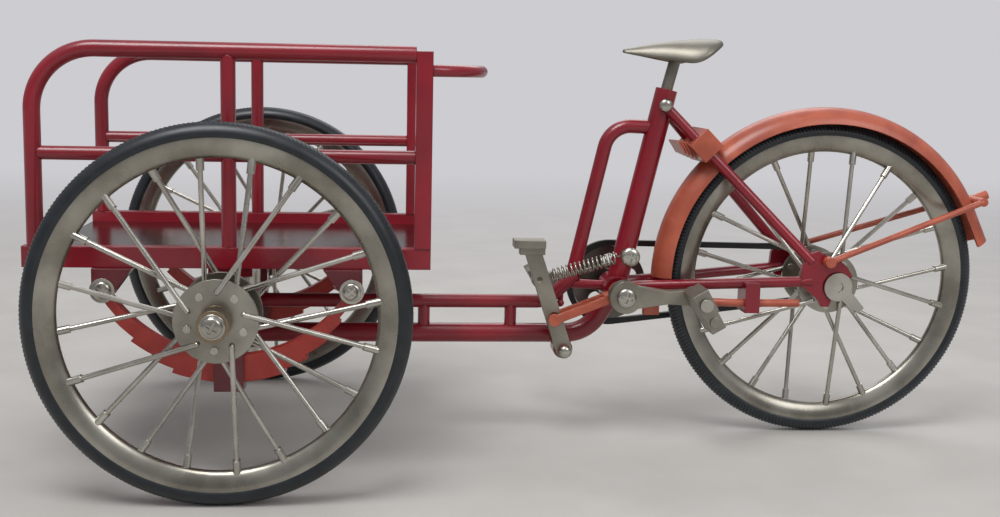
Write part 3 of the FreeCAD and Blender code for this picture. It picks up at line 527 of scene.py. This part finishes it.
def returnSpring():
    shape = springShape
    start = place(*shape["coilStart"])
    end = place(*shape["coilEnd"])
    coil = runTree(meshObject("coilHolder", [(0, 0, 0)], []), wireCoil, "returnCoil", {
        "Turns": shape["turns"], "Radius": shape["outerR"] - shape["wireR"], "Wire": shape["wireR"],
        "Length": (end - start).length, "Finish": finish["springWire"]})
    turn = (end - start).to_track_quat("Z", "Y").to_matrix().to_4x4()
    coil.data.transform(Matrix.Translation(start) @ turn)
    hook = place(*shape["hook"])
    anchor = place(*shape["anchor"])
    lift = Vector((0, 0, shape["outerR"] * shape["liftShare"]))
    bend, tip = shape["bendShare"], shape["tipShare"]
    front = tube("frontHook", [hook, hook + (start - hook) * bend, start + lift / 2, start + lift],
                 shape["wireR"])
    back = tube("rearHook", [end + lift, end + lift / 2, anchor + (end - anchor) * bend,
                             anchor + (end - anchor) * tip], shape["wireR"])
    for part in (front, back):
        part.data.materials.append(finish["springWire"])
    piece = joinPieces([coil, front, back], "returnSpring", None, ["brake_spring"])
    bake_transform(piece)


returnSpring()
print("return spring built")

saddleShape = {
    # in mm: back from the front axle, half width, height on the centre line, height of the side edge
    "stations": ((76.75, 0.4, 79.95, 79.75), (77.0, 1.0, 80.25, 79.55), (78.6, 1.5, 80.6, 79.25),
                 (80.6, 2.1, 81.0, 78.95), (83.0, 2.9, 81.5, 78.55), (85.5, 3.9, 81.9, 78.15),
                 (87.9, 5.0, 82.2, 77.8), (90.1, 6.0, 82.4, 77.6), (91.8, 6.3, 82.55, 78.0),
                 (93.3, 6.15, 82.68, 78.85), (94.6, 5.5, 82.72, 79.75), (95.8, 4.4, 82.65, 80.6),
                 (96.7, 3.1, 82.45, 81.2), (97.15, 1.7, 82.2, 81.65)),
    "across": 18,
    "thick": 0.75 * mm,
    "rollIn": 0.45 * mm,
    "leastInside": (0.5, 0.4),    # of the half width and of the rise, where the shell is narrow
    "between": 3,
}


def catmull(rows, between):
    # smooth rows of numbers through the given ones
    out = []
    for k in range(len(rows) - 1):
        near = (rows[max(k - 1, 0)], rows[k], rows[k + 1], rows[min(k + 2, len(rows) - 1)])
        for step in range(between):
            t = step / between
            out.append([0.5 * (2 * b + (c - a) * t + (2 * a - 5 * b + 4 * c - d) * t ** 2
                               + (3 * b - a - 3 * c + d) * t ** 3) for a, b, c, d in zip(*near)])
    return out + [list(rows[-1])]


def saddle():
    shape = saddleShape
    count = shape["across"]
    verts = []
    rows = catmull(shape["stations"], shape["between"])
    for x, half, top, edge in rows:
        centre = place(x, 0, edge)
        rise = (top - edge) * mm
        half = half * mm
        for k in range(count + 1):
            bend = math.pi * (k / count - 0.5)
            verts.append(centre + Vector((0, half * math.sin(bend), rise * math.cos(bend))))
        innerHalf = max(half - shape["rollIn"], half * shape["leastInside"][0])
        innerRise = max(rise - shape["thick"], rise * shape["leastInside"][1])
        for k in range(count + 1):
            bend = math.pi * (0.5 - k / count)
            verts.append(centre + Vector((0, innerHalf * math.sin(bend), innerRise * math.cos(bend))))
    size = 2 * (count + 1)
    faces = []
    for row in range(len(rows) - 1):
        for k in range(size):
            after = (k + 1) % size
            here, ahead = row * size, (row + 1) * size
            faces.append((here + k, here + after, ahead + after, ahead + k))
    last = (len(rows) - 1) * size
    for first in (0, last):
        for k in range(count):
            a, b = first + k, first + k + 1
            c, d = first + size - 2 - k, first + size - 1 - k
            faces.append((a, b, c, d))
    shell = meshObject("saddleShell", verts, faces)
    shell.data.materials.append(finish["saddleNickel"])
    joinPieces([shell], "saddleShell", "saddle", ["saddle"])


saddle()
print("saddle built")

def spun(name, profile, centre, steps=32):
    # a solid turned about a line along Y; the profile runs from the axis back to the axis
    verts = [centre + Vector((0, profile[0][1], 0)), centre + Vector((0, profile[-1][1], 0))]
    inner = profile[1:-1]
    for step in range(steps):
        angle = math.tau * step / steps
        for radius, across in inner:
            verts.append(centre + Vector((radius * math.cos(angle), across, radius * math.sin(angle))))
    faces = []
    size = len(inner)
    for step in range(steps):
        here, after = 2 + step * size, 2 + (step + 1) % steps * size
        faces.append((0, here, after))
        faces.append((here + size - 1, 1, after + size - 1))
        for k in range(size - 1):
            faces.append((here + k, here + k + 1, after + k + 1, after + k))
    return meshObject(name, verts, faces)


def block(name, centre, sides):
    # a box about its centre; sides are half edges along its three directions
    corners = [centre + sides[0] * a + sides[1] * b + sides[2] * c
               for a in (-1, 1) for b in (-1, 1) for c in (-1, 1)]
    faces = [(0, 1, 3, 2), (4, 6, 7, 5), (0, 4, 5, 1), (2, 3, 7, 6), (0, 2, 6, 4), (1, 5, 7, 3)]
    return meshObject(name, corners, faces, smooth=False)


screwShape = {
    # seat in mm, back from the front axle, outwards and up; stem in mm, radius and depth under the head
    "axle": {"seat": (0, 55.45, 33.0), "radius": 1.75 * mm, "height": 0.95 * mm, "turn": 0.5, "stem": ()},
    "crank": {"seat": (76.8, 12.3, 30.7), "radius": 1.95 * mm, "height": 1.05 * mm, "turn": 0.3, "stem": ()},
    "spring": {"seat": (78.2, 8.0, 38.4), "radius": 1.9 * mm, "height": 1.1 * mm, "turn": 0.2,
               "stem": ((1.0, 6.2), (1.0, 0.0))},
    "bolt": {"seat": (22.2, 32.3, 35.0), "radius": 1.65 * mm, "height": 0.9 * mm, "turn": 0.7,
             "stem": ((1.65, 6.8), (1.65, 5.9), (1.0, 5.9), (1.0, 0.5), (2.25, 0.5), (2.25, 0.0))},
    "shoulder": 0.45,                    # of the head's height, where its dome starts
    "dome": (0.35, 0.7, 1.05, 1.35),     # radians up the dome
    "recess": (0.6, 0.5, 0.14),          # half length, depth and width, as shares of radius, height, radius
    "recessAt": 1.02,                    # of the head's height
    "sharpAt": 38,                       # degrees
    # radius and distance out in mm, from the back to the face
    "washer": ((0, -0.45), (2.2, -0.45), (2.2, -0.12), (2.05, 0), (0, 0)),
    # the seat pin: its place on the seat tube, and radius and distance to the left in mm
    "pinSeat": (85.4252, 0, 69.0),
    "pin": ((0, 1.3), (0.9, 1.3), (0.9, 2.9), (1.35, 2.95), (1.35, 3.3), (1.15, 3.6), (0.6, 3.78), (0, 3.82)),
}


def outline(points, side):
    # rows of millimetres turned to metres on one side of the seat
    return [(radius * mm, side * across * mm) for radius, across in points]


def crossHead(name, kind, side, end=1):
    # a pan head with a cross recess, on the side and at the end that the signs tell
    screw = screwShape[kind]
    x, y, z = screw["seat"]
    centre = place(x * end, y * side, z)
    radius, height = screw["radius"], screw["height"]
    shoulder = height * screwShape["shoulder"]
    stem = outline(screw["stem"], -side)
    profile = [(0, stem[0][1] if stem else 0)] + stem + [(radius, 0), (radius, side * shoulder)]
    profile += [(radius * math.cos(a), side * (shoulder + (height - shoulder) * math.sin(a)))
                for a in screwShape["dome"]]
    profile += [(0, side * height)]
    head = spun(name, profile, centre)
    long, deep, wide = screwShape["recess"]
    bottom = Matrix.Translation(centre + Vector((0, side * height * screwShape["recessAt"], 0)))
    cutters = []
    for quarter in (0, math.pi / 2):
        cutter = block("recess", Vector((0, 0, 0)), (
            Vector((radius * long, 0, 0)), Vector((0, height * deep, 0)), Vector((0, 0, radius * wide))))
        cutter.data.transform(bottom @ Matrix.Rotation(screw["turn"] + quarter, 4, "Y"))
        cut = head.modifiers.new("recess", "BOOLEAN")
        cut.operation = "DIFFERENCE"
        cut.solver = "EXACT"
        cut.object = cutter
        cutters.append(cutter)
    bpy.context.view_layer.update()
    plain = bake(head, name)
    dropObjects(head, *cutters)
    plain.data.set_sharp_from_angle(angle=math.radians(screwShape["sharpAt"]))
    plain.data.materials.clear()
    plain.data.materials.append(finish["screwZinc"])
    return plain


def screws():
    shape = screwShape
    axle, crank, bolts = [], [], []
    x, y, z = shape["axle"]["seat"]
    for side in (-1, 1):
        washer = spun("washer", outline(shape["washer"], side), place(x, y * side, z))
        washer.data.materials.append(finish["screwZinc"])
        axle += [washer, crossHead("axleScrew", "axle", side)]
        crank.append(crossHead("crankScrew", "crank", side))
    joinPieces(axle, "axleScrews", "front_carriage", ["front_axle_screws"])
    joinPieces(crank, "crankScrews", "crankset", ["crank_screws"])
    anchor = crossHead("springScrew", "spring", -1)
    joinPieces([anchor], "springScrew", "rear_frame", ["spring_screw"])
    for end in (-1, 1):
        for side in (-1, 1):
            bolts.append(crossHead("springBolt", "bolt", side, end))
    joinPieces(bolts, "springBolts", "front_carriage", ["spring_bolts"])
    pinHead = spun("seatPin", outline(shape["pin"], -1), place(*shape["pinSeat"]))
    pinHead.data.materials.append(finish["screwZinc"])
    joinPieces([pinHead], "seatPin", "rear_frame", ["seat_pin"])


rivetShape = {
    "at": (65.2, -8.85, 18.9),
    "radius": 1.25 * mm,
    "height": 0.75 * mm,
    "rings": 6,
}


def rivetHead():
    # a domed rivet head on the side of the frame, below the brake lever
    shape = rivetShape
    angles = [math.pi / 2 * k / shape["rings"] for k in range(shape["rings"])]
    profile = [(0, 0)] + [(shape["radius"] * math.cos(a), -shape["height"] * math.sin(a)) for a in angles]
    head = spun("rivetHead", profile + [(0, -shape["height"])], place(*shape["at"]))
    head.data.materials.append(finish["screwZinc"])
    joinPieces([head], "rivetHead", "rear_frame", [])


combShape = {
    "slats": 4,
    "at": (91.0, 59.9),
    "step": (-0.7, 0.19),      # each slat lies this much further forward and up
    "thick": 0.36 * mm,
    "wide": 8.4 * mm,
    "long": 4.0 * mm,
    "shorter": 0.08,           # share of its length that each next slat loses
    "tilt": 33,
}


def clipComb():
    # thin slats hang from the front of the mudguard's clip
    shape = combShape
    tilt = math.radians(shape["tilt"])
    along = Vector((math.sin(tilt), 0, -math.cos(tilt)))
    across = Vector((math.cos(tilt), 0, math.sin(tilt)))
    slats = []
    for k in range(shape["slats"]):
        x, z = (shape["at"][n] + shape["step"][n] * k for n in (0, 1))
        reach = shape["long"] * (1 - shape["shorter"] * k)
        slat = block("slat", place(x, 0, z), (
            along * reach / 2, across * shape["thick"] / 2, Vector((0, shape["wide"] / 2, 0))))
        slat.data.materials.append(finish["orange"])
        slats.append(slat)
    joinPieces(slats, "clipComb", "rear_frame", [])


screws()
rivetHead()
clipComb()
print("small trim built")


viewpoint = {
    "place": (25.58, -260.1, 74.18),     # mm, measured back from the front axle, across and up
    "forward": (0.08105, 0.98688, -0.13964),
    "right": (0.99668, -0.07913, 0.01926),
    "lens": 45.7,
    "sensor": 36,
    "shift": (0.026, -0.0033),
    "nearest": 0.01,
}


def addCamera():
    view = viewpoint
    camera = bpy.data.objects.new("camera", bpy.data.cameras.new("camera"))
    bpy.context.scene.collection.objects.link(camera)
    camera.data.lens = view["lens"]
    camera.data.sensor_width = view["sensor"]
    camera.data.shift_x, camera.data.shift_y = view["shift"]
    camera.data.clip_start = view["nearest"]
    forward = Vector(view["forward"]).normalized()
    up = Vector(view["right"]).cross(forward).normalized()
    right = forward.cross(up)
    turn = Matrix((right, up, -forward)).transposed().to_4x4()
    camera.matrix_world = Matrix.Translation(place(*view["place"])) @ turn
    bpy.context.scene.camera = camera


studio = {
    "wall": "#cdccd0",
    "sky": "#e6e6ea",
    "floor": ("#b6b3ae", "#bdbab5"),
    "floorGrain": 25 * mm,
    "floorHalf": 3,
    "sides": 0.24,
    "overhead": 0.75,
    "fadeFrom": 0.06,      # metres behind the centre plane where the floor starts to rise into the wall tone
    "fadeTo": 0.75,
    "fadeRound": (0.35, 1.1),   # metres from the middle where it does so on the other sides
    "lamps": (  # place, size, watts
        ((-0.15, -0.25, 0.55), 0.3, 2.0),
        ((0.35, -0.45, 0.4), 0.3, 0.8),
        ((0.1, 0.4, 0.45), 0.4, 0.8),
    ),
    "lampAim": (0, 0, 0.03),
}


def addStudio():
    scene = bpy.context.scene
    scene.view_settings.view_transform = "Standard"
    world = bpy.data.worlds.new("studio")
    scene.world = world
    world.use_nodes = True
    tree = world.node_tree
    tree.nodes.clear()
    ray = addNode(tree, "ShaderNodeLightPath")
    # brighter overhead than at the sides, so that bare metal has something to reflect
    upward = addNode(tree, "ShaderNodeSeparateXYZ", {},
                     {"Vector": addNode(tree, "ShaderNodeTexCoord").outputs["Generated"]})
    level = addNode(tree, "ShaderNodeMapRange", {
        "From Min": -0.1, "From Max": 0.8, "To Min": studio["sides"], "To Max": studio["overhead"]},
        {"Value": upward.outputs["Z"]})
    dim = addNode(tree, "ShaderNodeBackground", {"Color": hexColour(studio["sky"])},
                  {"Strength": level.outputs["Result"]})
    wall = addNode(tree, "ShaderNodeBackground", {"Color": hexColour(studio["wall"]), "Strength": 1.0})
    mixed = addNode(tree, "ShaderNodeMixShader", {}, {
        "Fac": ray.outputs["Is Camera Ray"], 1: dim.outputs["Background"], 2: wall.outputs["Background"]})
    addNode(tree, "ShaderNodeOutputWorld", {}, {"Surface": mixed.outputs["Shader"]})
    for number, (spot, size, watts) in enumerate(studio["lamps"]):
        lamp = bpy.data.objects.new("lamp%d" % number, bpy.data.lights.new("lamp%d" % number, "AREA"))
        lamp.data.shape = "DISK"
        lamp.data.size = size
        lamp.data.energy = watts
        lamp.location = spot
        toward = Vector(studio["lampAim"]) - Vector(spot)
        lamp.rotation_euler = toward.to_track_quat("-Z", "Y").to_euler()
        scene.collection.objects.link(lamp)
    half = studio["floorHalf"]
    corners = [(-half, -half, 0), (half, -half, 0), (half, half, 0), (-half, half, 0)]
    floor = meshObject("floor", corners, [(0, 1, 2, 3)])
    # a shelf in matt paint: pale, almost no highlight, faint clouds
    material, tree, shader, coords = startMaterial("paintedShelf", {"Roughness": 0.7})
    grain = addNode(tree, "ShaderNodeTexNoise", {"Scale": 1 / studio["floorGrain"], "Detail": 3.0},
                    {"Vector": coords})
    tree.links.new(blendColours(tree, grain.outputs["Fac"], *studio["floor"]), shader.inputs["Base Color"])
    # far behind the object the floor takes the wall's tone, so no horizon line shows
    far = addNode(tree, "ShaderNodeSeparateXYZ", {}, {"Vector": coords})
    rise = addNode(tree, "ShaderNodeMapRange", {
        "interpolation_type": "SMOOTHSTEP", "From Min": studio["fadeFrom"], "From Max": studio["fadeTo"]},
        {"Value": far.outputs["Y"]})
    reach = addNode(tree, "ShaderNodeVectorMath", {"operation": "LENGTH"}, {"Vector": coords})
    around = addNode(tree, "ShaderNodeMapRange", {
        "interpolation_type": "SMOOTHSTEP", "From Min": studio["fadeRound"][0],
        "From Max": studio["fadeRound"][1]}, {"Value": reach.outputs["Value"]})
    fade = addNode(tree, "ShaderNodeMath", {"operation": "MAXIMUM"}, {
        0: rise.outputs["Result"], 1: around.outputs["Result"]})
    glow = addNode(tree, "ShaderNodeEmission", {"Color": hexColour(studio["wall"]), "Strength": 1.0})
    blended = addNode(tree, "ShaderNodeMixShader", {}, {
        "Fac": fade.outputs["Value"], 1: shader.outputs["BSDF"], 2: glow.outputs["Emission"]})
    output = next(node for node in tree.nodes if node.type == "OUTPUT_MATERIAL")
    tree.links.new(blended.outputs["Shader"], output.inputs["Surface"])
    floor.data.materials.append(material)


addCamera()
addStudio()
